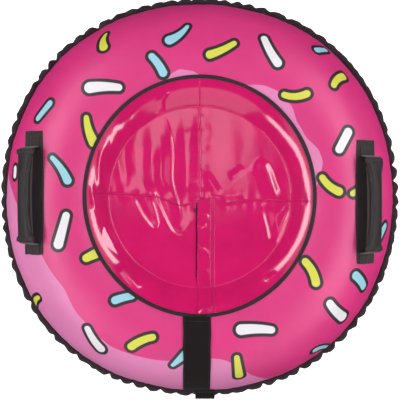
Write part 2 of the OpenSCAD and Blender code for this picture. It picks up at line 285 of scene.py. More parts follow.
def stitches(name, lines, mat, spacing=4.5 * MM, length=3.2 * MM, radius=0.45 * MM):
    """Rows of sewn thread. Each line is (points, normals), with one normal for each point."""
    sides, ends = 6, (-0.5, -0.36, 0.0, 0.36, 0.5)
    swell, rise = (0.45, 1.0, 1.0, 1.0, 0.45), (-0.7, 0.15, 0.45, 0.15, -0.7)
    ring = whole_turn(sides)
    template = grid_faces(len(ends), sides, False, True)
    caps = [list(range(sides))[::-1], list(range((len(ends) - 1) * sides, len(ends) * sides))]
    points, faces = [], []
    for line, normals in lines:
        centre, ahead, share = along_path(line, spacing)
        place = share * (len(line) - 1)
        up = read_at(place, np.arange(len(line)), np.asarray(normals))
        side = unit(np.cross(ahead, up))
        up = unit(np.cross(side, ahead))
        for c, t, s, n in zip(centre, ahead, side, up):
            first = len(points) * len(ends) * sides
            rings = [c + t * e * length + n * radius * h
                     + radius * w * (np.cos(ring)[:, None] * s + np.sin(ring)[:, None] * n)
                     for e, w, h in zip(ends, swell, rise)]
            points.append(np.concatenate(rings))
            faces += (template + first).tolist() + [[first + k for k in cap] for cap in caps]
    return add_mesh(name, np.concatenate(points), faces, mat)


def sew(name, slot, lines, mat, *sizes, body="cover"):
    """Rows of stitches that move with a body."""
    dress(stitches(name, lines, mat, *sizes), slot, body=body)


def ripple(x, y, size, seed):
    """Smooth bumps of about the given size, between -1 and 1, the same on every run."""
    draw = np.random.default_rng(seed)
    total = 0
    waves = 7
    for _ in range(waves):
        turn, phase = draw.uniform(0, 2 * math.pi, 2)
        pace = 2 * math.pi / size * draw.uniform(0.6, 1.5)
        total = total + np.sin(pace * (x * math.cos(turn) + y * math.sin(turn)) + phase)
    return total / waves ** 0.5 / 1.6


def ring_ripple(turn, size, seed):
    """Ripples round the ring, with sizes as on a circle of radius 1."""
    return ripple(np.cos(turn), np.sin(turn), size, seed)


def smooth(low, high, x):
    t = np.clip((np.asarray(x, float) - low) / (high - low), 0, 1)
    return t * t * (3 - 2 * t)


def window(x, open_from, open_to, shut_from, shut_to):
    """1 between two places, and smoothly 0 before and after them."""
    return smooth(open_from, open_to, x) * (1 - smooth(shut_from, shut_to, x))


# ---------------------------------------------------------------- the tube's own surface

def squared(points):
    """Moves points of the cover outwards between the tube's four sides, more towards the rim."""
    x, y, z = np.moveaxis(np.asarray(points, float), -1, 0)
    far, turn = np.hypot(x, y), np.arctan2(y, x)
    grow = 1 + SQUARENESS * (1 - np.cos(4 * turn)) * smooth(SEAT_R, RIM_R, far)
    return xyz(x * grow, y * grow, z)


def on_tube(turn, angle, lift=0.0):
    """The point of the tube at an angle round it, and at an angle from its crest outwards."""
    reach = SKIN_R + lift
    return polar(RING_R + reach * np.sin(angle), turn, AXLE_Z + reach * np.cos(angle))


def above(x, y):
    """The point of the tube's upper half above a point of the ground."""
    across = np.clip((np.hypot(x, y) - RING_R) / SKIN_R, -0.9999, 0.9999)
    return xyz(x, y, AXLE_Z + SKIN_R * np.sqrt(1 - across ** 2))


def pleat(turn):
    """The rim's pleats: how far out the cloth stands, 0 to 1, their strength, and their phase."""
    phase = PLEATS * turn
    for far, pace, start in PLEAT_DRIFTS:
        phase = phase + far * np.sin(pace * turn + start)
    uneven = ring_ripple(turn, 0.055, 41)
    strength = 0.75 + 0.3 * np.sin(5 * turn + 1.3) * np.sin(11 * turn) + 0.5 * uneven
    strength = np.clip(strength, 0.15, 1.4)
    strength = strength * (0.45 + 0.55 * smooth(0.25, 0.5, np.abs(wrapped(turn - CALM_TURN))))
    return np.abs(np.cos(phase / 2)), strength, phase


def near_strap(turn):
    """0 under the tow strap, which holds the cloth flat, and 1 away from it."""
    return smooth(HELD_TO, FREE_FROM, np.abs(wrapped(turn + math.pi / 2)))


# ---------------------------------------------------------------- the print

PINK, LILAC = (0.745, 0.024, 0.215), (0.8, 0.225, 0.49)
DARK = (0.033, 0.019, 0.027)
YELLOW, WHITE, BLUE = (0.74, 0.73, 0.07), (0.88, 0.85, 0.9), (0.34, 0.68, 0.81)
OUTLINE = 7.4 * MM
PRINT_EDGE, ICING_EDGE = 0.5 * MM, 0.4 * MM
STROKE_REACH = 0.12                  # no sprinkle reaches further than this from its middle
FAR_AWAY = 1e9
DEEP_OUTSIDE = -0.05                 # the distance given to points far from any lilac part

# Sprinkles as they lie on the cover, seen from above: middle x and y, length, heading in degrees,
# width at the start and at the end, bend to the left, and colour. Lengths are in millimetres.
SPRINKLES = [
    (-209, 342, 60, 84, 34, 22, 4, YELLOW),
    (-45, 357, 80, 40, 36, 23, -4, BLUE),
    (-91, 289, 74, -55, 30, 33, 2, BLUE),
    (49, 322, 88, 25, 33, 27, -2, YELLOW),
    (154, 318, 93, -62, 30, 34, -2, WHITE),
    (266, 322, 50, 8, 30, 27, 0, BLUE),
    (301, 255, 62, 42, 29, 33, 4, YELLOW),
    (208, 221, 78, 2, 28, 31, -5, YELLOW),
    (-207, 239, 97, 1, 39, 30, 2, WHITE),
    (-339, 188, 70, 50, 28, 30, 0, BLUE),
    (-240, 146, 86, -74, 26, 36, -3, YELLOW),
    (-303, 62, 88, -56, 25, 33, 3, BLUE),
    (-299, -71, 98, 75, 36, 31, 0, WHITE),
    (-233, -126, 64, 25, 32, 36, 0, YELLOW),
    (-166, -219, 68, 14, 32, 30, 1, BLUE),
    (-360, -226, 48, 52, 30, 24, 3, YELLOW),
    (-230, -307, 84, -58, 29, 36, -2, WHITE),
    (-126, -313, 82, 24, 33, 30, 3, YELLOW),
    (-45, -355, 66, 42, 24, 34, 0, BLUE),
    (84, -371, 74, -82, 27, 33, 0, YELLOW),
    (123, -287, 100, 0, 38, 31, 2, WHITE),
    (268, -331, 56, 8, 32, 24, 3, BLUE),
    (296, -246, 77, -46, 32, 37, -2, WHITE),
    (350, -182, 64, -52, 34, 32, 2, BLUE),
    (243, -162, 82, -64, 31, 33, 4, YELLOW),
    (313, 123, 75, 63, 33, 34, 0, WHITE),
    (284, 26, 78, -40, 29, 33, -4, YELLOW),
    (345, 14, 54, 28, 28, 30, 0, YELLOW),
    (396, 64, 52, 78, 24, 24, 0, BLUE),
    (404, -76, 60, 58, 34, 30, 0, BLUE),
    (-410, 56, 44, 86, 28, 28, 0, WHITE),
    (411, -174, 36, 52, 26, 26, 0, YELLOW),
    (368, -252, 36, 40, 26, 26, 0, YELLOW),
]

# Edges of the two lilac parts of the print: how far from the middle, in millimetres, at each angle.
ICING = [(160, 470), (172, 436), (186, 392), (198, 368), (206, 361), (214, 353), (222, 364),
         (229, 368), (239, 377), (250, 371), (257, 366), (266, 356), (274, 352), (279, 359),
         (283, 380), (286, 407), (292, 440), (297, 470)]
NOUGAT = [(2, 250), (11, 268), (16, 279.5), (22, 279), (29, 266), (38, 268), (44, 281), (53, 287),
          (60, 281), (68, 264), (74, 250)]
NOUGAT_TIP = [(84, 250), (90, 267), (93, 275), (99, 282), (105, 273), (110, 250)]


def stretches(points, line):
    """For each stretch of a line: its step, how far along it each point lies, from 0 to 1, and how
    each point is offset from it."""
    for a, b in zip(line[:-1], line[1:]):
        step = b - a
        t = np.clip(((points - a) @ step) / (step @ step), 0, 1)
        yield step, t, points - a - t[..., None] * step


def nearest_stroke(points, line, widths):
    """Distance from points to the skin of a stroke along a line, with a width at each point."""
    best = np.full(points.shape[:-1], FAR_AWAY)
    for (_, t, offset), wa, wb in zip(stretches(points, line), widths[:-1], widths[1:]):
        best = np.minimum(best, np.linalg.norm(offset, axis=-1) - (wa + (wb - wa) * t) / 2)
    return best


def paint_print(points):
    """Each point's distance to the nearest sprinkle's edge, which is negative inside it, that
    sprinkle's colour, and how far inside a lilac part of the print the point lies."""
    gap = np.full(len(points), 1.0)
    ink = np.tile(np.array(WHITE), (len(points), 1))
    share = np.linspace(-1, 1, 9)
    for x, y, length, heading, start_w, end_w, bend, colour in SPRINKLES:
        turn = math.radians(heading)
        ahead = np.array([math.cos(turn), math.sin(turn)])
        left = np.array([-ahead[1], ahead[0]])
        reach = max(length - (start_w + end_w) / 2, 6) / 2
        plan = (np.array([x, y]) + share[:, None] * reach * ahead
                + (1 - share[:, None] ** 2 - 0.5) * bend * left) * MM
        line = above(plan[:, 0], plan[:, 1])
        widths = (start_w + (end_w - start_w) * (share + 1) / 2) * MM
        close = np.linalg.norm(points - line[len(line) // 2], axis=1) < STROKE_REACH
        found = nearest_stroke(points[close], line, widths)
        ink[close] = np.where((found < gap[close])[:, None], colour, ink[close])
        gap[close] = np.minimum(gap[close], found)
    turn = np.degrees(np.arctan2(points[:, 1], points[:, 0])) % 360
    far = np.hypot(points[:, 0], points[:, 1])
    lilac = np.full(len(points), DEEP_OUTSIDE)
    for edge, outside in ((ICING, 1), (NOUGAT, -1), (NOUGAT_TIP, -1)):
        angles, radii = np.array(edge, float).T
        inside = (turn > angles[0]) & (turn < angles[-1])
        fine = np.linspace(angles[0], angles[-1], 160)
        curve = np.interp(fine, angles, radii)
        soften = np.hanning(9) / np.hanning(9).sum()
        curve[4:-4] = np.convolve(curve, soften, "valid")
        past = (far - np.interp(turn, fine, curve) * MM) * outside
        lilac = np.where(inside, np.maximum(lilac, past), lilac)
    return gap, ink, lilac


# ---------------------------------------------------------------- materials

WAVE_AT_1 = 0.31416          # the period of Blender's wave texture at scale 1


def add_node(tree, kind, inputs=None, **settings):
    made = tree.nodes.new(kind)
    for key, value in settings.items():
        setattr(made, key, value)
    for key, value in (inputs or {}).items():
        if isinstance(value, bpy.types.NodeSocket):
            tree.links.new(value, made.inputs[key])
        else:
            made.inputs[key].default_value = value
    return made


def new_material(name, **values):
    mat = bpy.data.materials.new(name)
    mat.use_nodes = True
    tree = mat.node_tree
    bsdf = tree.nodes["Principled BSDF"]
    for key, value in values.items():
        bsdf.inputs[key.replace("_", " ")].default_value = value
    return mat, tree, bsdf


def rgba(colour, scale=1.0):
    return (colour[0] * scale, colour[1] * scale, colour[2] * scale, 1)


def wire(tree, bsdf, colour, roughness=None):
    """Feeds a material's colour, and its roughness if there is one."""
    tree.links.new(colour, bsdf.inputs["Base Color"])
    if roughness is not None:
        tree.links.new(roughness, bsdf.inputs["Roughness"])


def object_place(tree):
    return add_node(tree, "ShaderNodeTexCoord").outputs["Object"]


def attribute(tree, name, output):
    """A number, colour or vector that the mesh holds at each of its points."""
    return add_node(tree, "ShaderNodeAttribute", attribute_name=name).outputs[output]


def noise(tree, place, size, detail=3.0, rough=0.55):
    """Noise whose features are about size metres across."""
    made = add_node(tree, "ShaderNodeTexNoise",
                    {"Vector": place, "Scale": 1 / size, "Detail": detail, "Roughness": rough})
    return made.outputs["Fac"]


def between(tree, factor, low, high, start=0.3, end=0.7):
    """A number that goes from low to high as factor goes from start to end. Most noise lies
    between 0.3 and 0.7."""
    made = add_node(tree, "ShaderNodeMapRange", {"Value": factor, "From Min": start, "From Max": end,
                                                "To Min": low, "To Max": high})
    return made.outputs["Result"]


def mixed(tree, factor, first, second, blend_type="MIX"):
    made = add_node(tree, "ShaderNodeMix", data_type="RGBA", blend_type=blend_type)
    for index, value in ((0, factor), (6, first), (7, second)):
        if isinstance(value, bpy.types.NodeSocket):
            tree.links.new(value, made.inputs[index])
        else:
            made.inputs[index].default_value = value
    return made.outputs[2]


def calc(tree, operation, a, b=0.0):
    made = add_node(tree, "ShaderNodeMath", {0: a, 1: b}, operation=operation)
    return made.outputs[0]


def bands(tree, place, direction, period):
    """Waves of the given period, in metres, along one direction of a place vector."""
    made = add_node(tree, "ShaderNodeTexWave", {"Vector": place, "Scale": WAVE_AT_1 / period},
                    bands_direction=direction)
    return made.outputs["Fac"]


def grid_of_threads(tree, place, period):
    """The even grid of a plain cloth's threads."""
    return calc(tree, "ADD", bands(tree, place, "X", period), bands(tree, place, "Y", period))


def bump(tree, bsdf, height, distance, strength=1.0, base=None):
    made = add_node(tree, "ShaderNodeBump",
                    {"Height": height, "Distance": distance, "Strength": strength})
    if base is not None:
        tree.links.new(base, made.inputs["Normal"])
    tree.links.new(made.outputs["Normal"], bsdf.inputs["Normal"])
    return made.outputs["Normal"]


def printed_cloth():
    mat, tree, bsdf = new_material("printed_fabric", Specular_IOR_Level=0.62, Sheen_Weight=0.03,
                                   Sheen_Roughness=0.4)
    place = object_place(tree)
    gap = attribute(tree, "sprinkle", "Fac")
    ink = attribute(tree, "ink", "Color")
    icing = attribute(tree, "lilac", "Fac")
    shade = between(tree, noise(tree, place, 90 * MM), 0.95, 1.05)
    is_lilac = between(tree, icing, 0, 1, -ICING_EDGE, ICING_EDGE)
    ground = mixed(tree, is_lilac, rgba(PINK), rgba(LILAC))
    grey = add_node(tree, "ShaderNodeCombineColor", {"Red": shade, "Green": shade, "Blue": shade})
    ground = mixed(tree, 1.0, ground, grey.outputs["Color"], "MULTIPLY")
    outline = between(tree, gap, 1, 0, -PRINT_EDGE, PRINT_EDGE)
    colour = mixed(tree, outline, ground, rgba(DARK))
    fill = between(tree, gap, 1, 0, -OUTLINE - PRINT_EDGE, -OUTLINE + PRINT_EDGE)
    wire(tree, bsdf, mixed(tree, fill, colour, ink),
         between(tree, noise(tree, place, 6 * MM), 0.4, 0.5))
    threads = grid_of_threads(tree, place, 0.7 * MM)
    slack = bump(tree, bsdf, noise(tree, place, 28 * MM, 2.0), 0.5 * MM, 0.5)
    bump(tree, bsdf, threads, 0.03 * MM, 0.6, slack)
    return mat


def glossy_vinyl(name, colour, rough=0.07):
    """Coated tarpaulin: a soft glossy skin with the grid of its scrim just showing through."""
    mat, tree, bsdf = new_material(name, Specular_IOR_Level=0.5, IOR=1.5, Coat_Weight=0.35,
                                   Coat_Roughness=0.05)
    place = object_place(tree)
    patches = noise(tree, place, 60 * MM, 2.0)
    base = mixed(tree, between(tree, patches, 0, 1), rgba(colour, 0.92), rgba(colour, 1.06))
    scuffs = noise(tree, place, 7 * MM, 5.0, 0.7)
    base = mixed(tree, between(tree, scuffs, 0, 0.25, 0.6, 0.8), base, rgba(SCUFF_PINK))
    wire(tree, bsdf, base, between(tree, scuffs, rough, rough + 0.08, 0.4, 0.75))
    scrim = grid_of_threads(tree, place, 1.4 * MM)
    dents = bump(tree, bsdf, noise(tree, place, 17 * MM, 2.0), 0.4 * MM, 0.2)
    bump(tree, bsdf, scrim, 0.02 * MM, 0.35, dents)
    return mat


def woven(name, colour, along=2.2 * MM, across=1.5 * MM, depth=0.35 * MM, rough=0.62,
          sheen=0.25, shine=0.35):
    """Webbing or binding tape: ribs along and across, with a painted highlight where the yarns stand
    out and painted shade in the grooves between them.
    """
    mat, tree, bsdf = new_material(name, Sheen_Weight=sheen, Sheen_Roughness=0.45,
                                   Specular_IOR_Level=shine)
    cloth = attribute(tree, "cloth", "Vector")
    ribs = calc(tree, "MULTIPLY", bands(tree, cloth, "X", along), bands(tree, cloth, "Y", across))
    fuzz = noise(tree, cloth, 1.1 * MM, 4.0, 0.7)
    height = calc(tree, "ADD", ribs, calc(tree, "MULTIPLY", fuzz, 0.5))
    wear = noise(tree, object_place(tree), 26 * MM, 4.0, 0.6)
    # The colour follows the ribs' height, which paints a highlight on the raised yarns and shade in
    # the grooves, and it also varies with random wear.
    rib_shade_and_wear = calc(tree, "ADD", calc(tree, "MULTIPLY", height, 0.55), calc(tree, "MULTIPLY", wear, 0.5))
    base = mixed(tree, between(tree, rib_shade_and_wear, 0, 1, 0.3, 1.0), rgba(colour, 0.6), rgba(colour, 1.7))
    wire(tree, bsdf, base, between(tree, wear, rough - 0.08, rough + 0.1))
    bump(tree, bsdf, height, depth, 0.7)
    return mat


def plain(name, colour, rough, size, depth, metallic=0.0, spread=0.15):
    """A moulded, cast or turned surface: slightly uneven in colour, gloss and height."""
    mat, tree, bsdf = new_material(name, Metallic=metallic)
    place = object_place(tree)
    grain = noise(tree, place, size, 4.0, 0.6)
    base = mixed(tree, between(tree, grain, 0, 1), rgba(colour, 1 - spread),
                 rgba(colour, 1 + spread))
    wire(tree, bsdf, base, between(tree, grain, rough * 0.85, rough * 1.15))
    bump(tree, bsdf, grain, depth, 0.6)
    return mat


VINYL_PINK, SCUFF_PINK = (0.68, 0.011, 0.14), (0.8, 0.1, 0.25)
WEB_BLACK = (0.037, 0.0215, 0.025)
printed = printed_cloth()
vinyl = glossy_vinyl("seat_vinyl", VINYL_PINK)
under_vinyl = glossy_vinyl("bottom_vinyl", (0.66, 0.016, 0.12), 0.26)
webbing = woven("webbing", WEB_BLACK)
# A darker, less shiny copy of the handle webbing for the tow strap and loop. Its darker colour is
# painted shade.
shaded_strap_webbing = woven("shaded_strap_webbing", (0.0095, 0.0058, 0.0064), rough=0.75, sheen=0.05, shine=0.15)
binding_tape = woven("binding_tape", (0.018, 0.007, 0.014), 1.4 * MM, 1.0 * MM, 0.2 * MM, 0.55)
grip_cloth = woven("grip_cloth", (0.0225, 0.0138, 0.0152), 1.2 * MM, 1.2 * MM, 0.14 * MM, 0.5)
zip_tape = woven("zip_tape", (0.02, 0.018, 0.02), 0.9 * MM, 0.9 * MM, 0.1 * MM)
pink_thread = plain("pink_thread", (0.42, 0.008, 0.07), 0.5, 1.2 * MM, 0.06 * MM)
black_thread = plain("black_thread", (0.03, 0.026, 0.028), 0.5, 1.2 * MM, 0.06 * MM)
rubber = plain("tube_rubber", (0.022, 0.021, 0.021), 0.5, 5 * MM, 0.05 * MM)
brass = plain("valve_brass", (0.72, 0.5, 0.2), 0.3, 3 * MM, 0.02 * MM, 1.0)
cap_plastic = plain("cap_plastic", (0.03, 0.03, 0.03), 0.45, 1.5 * MM, 0.05 * MM)
zip_plastic = plain("zip_plastic", (0.028, 0.025, 0.028), 0.35, 1.5 * MM, 0.03 * MM)
enamel = plain("zip_enamel", (0.02, 0.016, 0.02), 0.25, 1.2 * MM, 0.02 * MM, 0.3)


# ---------------------------------------------------------------- camera, light and floor

CAMERA_X, CAMERA_Y = 0.7 * MM, -6 * MM
FLOOR_HALF = 6.0
FLOOR_GLOW, SKY_GLOW = 0.8, 0.28


def make_camera(height=3.2, frame_width=0.9092):
    """Looks straight down, and shows colours as they are. frame_width is what the frame takes in at
    the height of the rim."""
    data = bpy.data.cameras.new("camera")
    data.lens = data.sensor_width * height / frame_width
    camera = bpy.data.objects.new("camera", data)
    camera.location = (CAMERA_X, CAMERA_Y, AXLE_Z + height)
    bpy.context.scene.collection.objects.link(camera)
    bpy.context.scene.camera = camera
    bpy.context.scene.view_settings.view_transform = "Standard"


def add_light(name, place, target, size, radiance, glossy=True, diffuse=True):
    """A flat softbox of the given size that faces a target, and is as bright as radiance all over."""
    data = bpy.data.lights.new(name, "AREA")
    data.shape = "RECTANGLE"
    data.size, data.size_y = size
    data.energy = radiance * math.pi * size[0] * size[1]
    light = bpy.data.objects.new(name, data)
    forward = unit(np.array(place, float) - np.array(target, float))
    across = unit(np.cross((0, 1, 0), forward))
    up = np.cross(forward, across)
    turn = Matrix([list(row) for row in np.stack([across, up, forward], 1)])
    light.matrix_world = Matrix.Translation(place) @ turn.to_4x4()
    light.visible_camera = False
    light.visible_glossy = glossy
    light.visible_diffuse = diffuse
    bpy.context.scene.collection.objects.link(light)


def make_floor():
    """A pale floor that glows a little. It lights nothing and isn't mirrored in the vinyl."""
    mat, tree, bsdf = new_material("floor", Roughness=0.9, Emission_Color=(1, 1, 1, 1),
                                   Emission_Strength=FLOOR_GLOW)
    grain = noise(tree, object_place(tree), 0.4)
    wire(tree, bsdf, mixed(tree, between(tree, grain, 0, 1),
                           (0.93, 0.93, 0.935, 1), (0.95, 0.95, 0.95, 1)))
    corners = FLOOR_HALF * np.array([[-1, -1, 0], [1, -1, 0], [1, 1, 0], [-1, 1, 0]])
    floor = add_mesh("floor", corners, [[0, 1, 2, 3]], mat, smooth=False)
    floor.visible_diffuse = False
    floor.visible_glossy = False


def make_world():
    """An even grey sky that lights the tube but isn't mirrored in it."""
    world = bpy.data.worlds.new("studio")
    world.use_nodes = True
    sky = world.node_tree.nodes["Background"]
    sky.inputs["Color"].default_value = (1, 1, 1, 1)
    sky.inputs["Strength"].default_value = SKY_GLOW
    bpy.context.scene.world = world
    world.cycles_visibility.glossy = False


def make_lights():
    """Softboxes: some only light the cloth, and some are only there to shine in the vinyl."""
    seat, axle = (0, 0, SEAT_Z), (0, 0, AXLE_Z)
    add_light("overhead", (0, 0, 3.4), seat, (4.6, 4.6), 0.14, glossy=False)
    add_light("card", (-0.075, 0.27, 3.0), (-0.075, 0.27, 0), (0.56, 0.5), 2.0)
    add_light("front_low", (0, -3.0, 1.5), seat, (3.6, 2.7), 1.15, diffuse=False)
    for sign in (-1, 1):
        add_light("bank_%d" % sign, (sign * 1.9, 0, 2.9), seat, (1.0, 3.0), 0.8)
        add_light("strip_%d" % sign, (sign * 2.3, 0, 2.4), seat, (0.4, 5.0), 6.2, glossy=False)
        add_light("gleam_%d" % sign, (sign * 2.2, 0, 2.3), seat, (0.5, 5.0), 8.5, diffuse=False)
        add_light("side_%d" % sign, (sign * 2.6, 0, 0.65), axle, (4.0, 1.2), 1.7, glossy=False)
        add_light("end_%d" % sign, (0, sign * 2.6, 0.65), axle, (4.0, 1.2), 0.75, glossy=False)


make_camera()
make_floor()
make_world()
make_lights()


# ---------------------------------------------------------------- covers and rim

def seat_edge(turn, out=0.0):
    """The seat's edge in plan, at an angle of its own outline, moved out across the binding."""
    x = (SEAT_HALF_X + out) * np.cos(turn)
    y = SEAT_SHIFT_Y + (SEAT_HALF_Y + out) * np.sin(turn)
    return x, y


def lip(turn, phase, strength, side):
    """The part of a cover that is sewn into the binding, from the rim outwards."""
    z = AXLE_Z + side * LIP_RISE + PLEAT_WAVE * np.sin(phase / 2) * strength
    return np.stack([polar(RING_R + SKIN_R + reach, turn, z) for reach in LIP_REACH], 1)


def make_top_cover(rows=720, cols=92):
    """The printed cover, from the seat's edge over the tube to the lip in the rim binding."""
    turn = whole_turn(rows)
    x, y = seat_edge(turn, 1 * MM)
    inner_turn = np.arctan2(y, x)
    inner_angle = np.arcsin((np.hypot(x, y) - RING_R) / SKIN_R)
    share = np.linspace(0, 1, cols)
    bend = wrapped(inner_turn - turn)
    around = turn[:, None] + bend[:, None] * (1 - smooth(0, 1, share))
    angle = inner_angle[:, None] + (math.pi / 2 - inner_angle[:, None]) * share
    out, strength, phase = pleat(around)
    held = near_strap(around)
    near_rim = np.exp(-(math.pi / 2 - angle) * SKIN_R / TOP_FADE)
    far_rim = np.exp(-(math.pi / 2 - angle) * SKIN_R / TOP_BULGE_FADE)
    lift = held * strength * (TOP_PLEAT * (out - PLEAT_MIDDLE) * near_rim
                              + BULGE * np.sin(phase / 4 + 1) * far_rim)
    slack = ripple(around * 3, angle * 1.2, 1.9, 4) * 0.7 * MM * smooth(0, 0.12, share)
    front = on_tube(around, angle, lift + slack)
    front = np.concatenate([front, lip(turn, phase[:, -1], strength[:, -1], 1)], 1)
    obj = shell("top_cover_cloth", squared(front)[:, ::-1], COVER_THICK, printed, True)
    flat = front[:, ::-1].reshape(-1, 3)
    gap, ink, lilac = paint_print(flat)
    add_numbers(obj, "sprinkle", np.tile(gap, 2))
    add_numbers(obj, "lilac", np.tile(lilac, 2))
    add_colours(obj, "ink", np.tile(ink, (2, 1)))
    dress(obj, "printed_fabric", "top_cover")


def make_bottom_cover(rows=720, cols=60):
    """The plain cover, from its lip in the rim binding down to where the tube meets the floor."""
    turn = whole_turn(rows)
    angle = np.linspace(math.pi / 2, math.pi, cols)[None, :] + 0 * turn[:, None]
    around = turn[:, None] + 0 * angle
    out, strength, phase = pleat(around)
    near_rim = np.exp(-(angle - math.pi / 2) * SKIN_R / UNDER_FADE)
    far_rim = np.exp(-(angle - math.pi / 2) * SKIN_R / UNDER_BULGE_FADE)
    lift = strength * (UNDER_PLEAT * (out - PLEAT_MIDDLE) * near_rim
                       + BULGE * np.sin(phase / 4) * far_rim)
    front = on_tube(around, angle, np.minimum(lift, 2 * MM))
    front = squared(np.concatenate([lip(turn, phase[:, 0], strength[:, 0], -1)[:, ::-1], front], 1))
    front[..., 2] = np.maximum(front[..., 2], FLOOR_GAP)
    obj = shell("bottom_cover_cloth", front[:, ::-1], COVER_THICK, under_vinyl, True)
    dress(obj, "pink_vinyl", "bottom_cover")


def make_bottom_panel(rows=360, cols=40):
    """The round panel under the ring's hole."""
    turn = whole_turn(rows)[:, None]
    far = np.linspace(1, 0, cols) ** 0.8 * PANEL_R + PIN_HOLE + 0 * turn
    dent = ripple(far * np.cos(turn), far * np.sin(turn), 0.12, 9)
    disc = polar(far, turn, np.maximum(0.45 + 0.3 * dent, 0) * MM + FLOOR_GAP)
    panel = shell("bottom_panel_cloth", disc[:, ::-1], PANEL_THICK, under_vinyl, True)
    dress(panel, "pink_vinyl", "bottom_panel")


def make_rim_binding(rows=1408, cols=16):
    """Folded tape round the covers' lips, pulled into pleats."""
    turn = whole_turn(rows)
    out, strength, phase = pleat(turn)
    draw = ring_ripple(turn, 0.05, 12)
    outer = RIM_R + 2.0 * MM - 7.4 * MM * (1 - out) * strength + 1.0 * MM * draw
    outer = np.maximum(outer, RING_R + SKIN_R + 5 * MM)
    inner = RING_R + SKIN_R + 0.6 * MM - 1.2 * MM * out * strength
    middle_z = AXLE_Z + strength * PLEAT_WAVE * np.sin(phase / 2)
    half_t = (3.1 + 0.9 * out * strength + 0.4 * ripple(np.sin(turn), np.cos(turn), 0.03, 5)) * MM
    across, up = oblong(cols, 0.7, 0.8)
    tilt = 0.16 * np.sin(phase / 2 + 0.8) * strength
    a = ((outer - inner) / 2)[:, None] * across
    b = half_t[:, None] * up
    far = ((outer + inner) / 2)[:, None] + a * np.cos(tilt)[:, None] - b * np.sin(tilt)[:, None]
    z = middle_z[:, None] + a * np.sin(tilt)[:, None] + b * np.cos(tilt)[:, None]
    obj = ring_solid("rim_binding_tape", squared(polar(far, turn[:, None], z)), binding_tape)
    dress(obj, "black_binding", "rim_binding")
    lines = []
    for side in (1, -1):
        line = polar(inner + 2.6 * MM, turn, middle_z + side * (half_t + 0.1 * MM))
        lines.append(facing(squared(line), (0, 0, side)))
    sew("rim_stitches", "black_binding", lines, black_thread, 5 * MM, 3.4 * MM, 0.4 * MM)


make_top_cover()
make_bottom_cover()
make_bottom_panel()
make_rim_binding()


# ---------------------------------------------------------------- seat

FLAT_R = RING_R - (SKIN_R + SEAT_BEND_R) * math.sin(SEAT_LEAVE)


def curve(corners, per=8):
    """A smooth line through corners given in millimetres."""
    p = np.array(corners, float) * MM
    p = np.concatenate([[2 * p[0] - p[1]], p, [2 * p[-1] - p[-2]]])
    t = np.arange(per)[:, None] / per
    runs = []
    for a, b, c, d in zip(p[:-3], p[1:-2], p[2:-1], p[3:]):
        runs.append(0.5 * (2 * b + (c - a) * t + (2 * a - 5 * b + 4 * c - d) * t ** 2
                           + (3 * b - a - 3 * c + d) * t ** 3))
    return np.concatenate(runs + [p[-2:-1]])


def ridge(x, y, corners, height, left, right, start=0.3, end=0.3):
    """A fold of cloth along a line: its crest's height, and how wide its flanks are on each side,
    in millimetres. start and end are the shares of the line over which it rises and falls."""
    line = curve(corners, 6)
    best, side, share = np.full(x.shape, FAR_AWAY), 0, 0
    for k, (step, t, offset) in enumerate(stretches(np.stack([x, y], -1), line)):
        gap = np.linalg.norm(offset, axis=-1)
        near = gap < best
        best = np.where(near, gap, best)
        side = np.where(near, step[0] * offset[..., 1] - step[1] * offset[..., 0], side)
        share = np.where(near, (k + t) / (len(line) - 1), share)
    width = np.where(side > 0, left, right) * MM
    fade = smooth(0, start, share) * smooth(0, end, 1 - share)
    t = np.clip(np.sqrt((best / width) ** 2 + 0.01) - 0.1, 0, 1)
    return height * MM * fade * (0.88 * (1 - t) + 0.06 * (1 + np.cos(math.pi * t)))


# Folds of the seat's slack vinyl, seen from above: the crest's line, its height, and the widths
# of its flanks on the left and on the right of that line. Lengths are in millimetres.
FOLDS = [
    ([(-121, 18), (-108, 22), (-94, 13), (-84, -12), (-70, -43), (-55, -70), (-41, -78), (-24, -62),
      (-6, -40)], 3.6, 26, 7.6),
    ([(-146, 8), (-134, -12), (-119, -39), (-99, -64), (-89, -70)], 3.2, 14, 6.8),
    ([(-90, -68), (-99, -31), (-112, 4)], 2.6, 9, 5.6),
    ([(138, -8), (149, -47), (156, -77), (158, -106)], 3.4, 16, 7.2),
    ([(158, -106), (171, -92), (185, -54), (194, -31), (186, -20)], 3.2, 18, 6.8),
    ([(122, 84), (145, 62), (160, 22), (174, -8)], 5.7, 13.2, 28),
    ([(-64, 235), (-83, 213), (-81, 182)], 3.6, 7.6, 12),
    ([(-79, 186), (-66, 140), (-61, 92), (-62, 37), (-47, -20), (-39, -66)], 2.3, 4.9, 22),
    ([(-38, 190), (-32, 90), (-27, 10), (-40, -55)], -2.4, 32, 26),
    ([(-158, 178), (-166, 100), (-160, 12)], -2.0, 22, 24),
    ([(-182, 160), (-180, 90), (-172, 20)], 1.2, 14, 14),
    ([(-86, 120), (-82, 50), (-74, -5)], -2.0, 18, 20),
    ([(4, -4), (56, -14), (110, -7)], 1.8, 16, 3.6),
    ([(62, 43), (82, 52), (100, 70)], -1.0, 12, 12),
    ([(10, 56), (26, 30), (44, 4)], -1.1, 13, 13),
    ([(-208, 117), (-218, 90), (-220, 50), (-217, 10)], 1.5, 7, 8),
    ([(-240, 30), (-234, 0), (-226, -30)], 3.4, 9, 12),
    ([(-177, -140), (-162, -164), (-148, -184), (-131, -208)], 5.4, 11.6, 20),
    ([(-128, -60), (-118, -120), (-104, -190)], -0.9, 40, 42),
    ([(60, -60), (92, -130), (120, -196)], -0.7, 50, 44),
    ([(143, -183), (158, -174), (172, -164)], 2.6, 9, 8),
]
